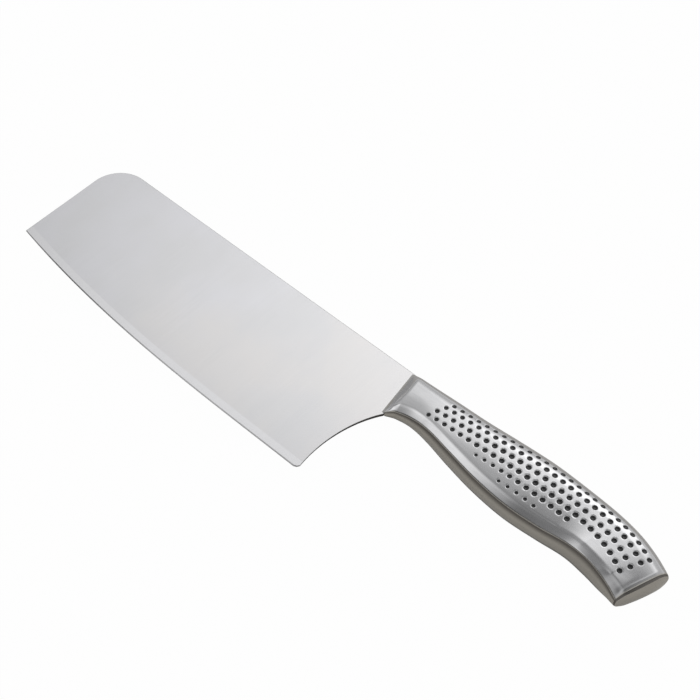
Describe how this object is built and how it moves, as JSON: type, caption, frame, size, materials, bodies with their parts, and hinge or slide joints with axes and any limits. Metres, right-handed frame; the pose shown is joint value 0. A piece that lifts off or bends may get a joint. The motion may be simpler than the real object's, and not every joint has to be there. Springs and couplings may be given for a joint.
{
  "type": "kitchen knife",
  "caption": "Broad vegetable-cleaver kitchen knife with a rounded tip, a curved edge and a hollow welded steel handle with dimpled grip sides.",
  "frame": {"origin": "middle of the whole knife's bounding box", "axes": "+X from the tip to the butt, +Y from the cutting edge to the spine, +Z out of the knife's left side"},
  "size_m": [0.3078, 0.0688, 0.0154],
  "materials": {
    "blade_steel": "satin, brushed across the blade",
    "handle_steel": "satin, fine blasted grain",
    "weld_steel": "ground flush",
    "sand": "loose grains"
  },
  "bodies": {
    "root": {"blade": "blade_steel", "handle_shell_left": "handle_steel", "handle_shell_right": "handle_steel", "butt_cap": "handle_steel", "balance_sand": "sand", "spine_seam_weld": "weld_steel", "belly_seam_weld": "weld_steel", "neck_weld_left": "weld_steel", "neck_weld_right": "weld_steel", "butt_weld": "weld_steel"}
  },
  "joints": []
}
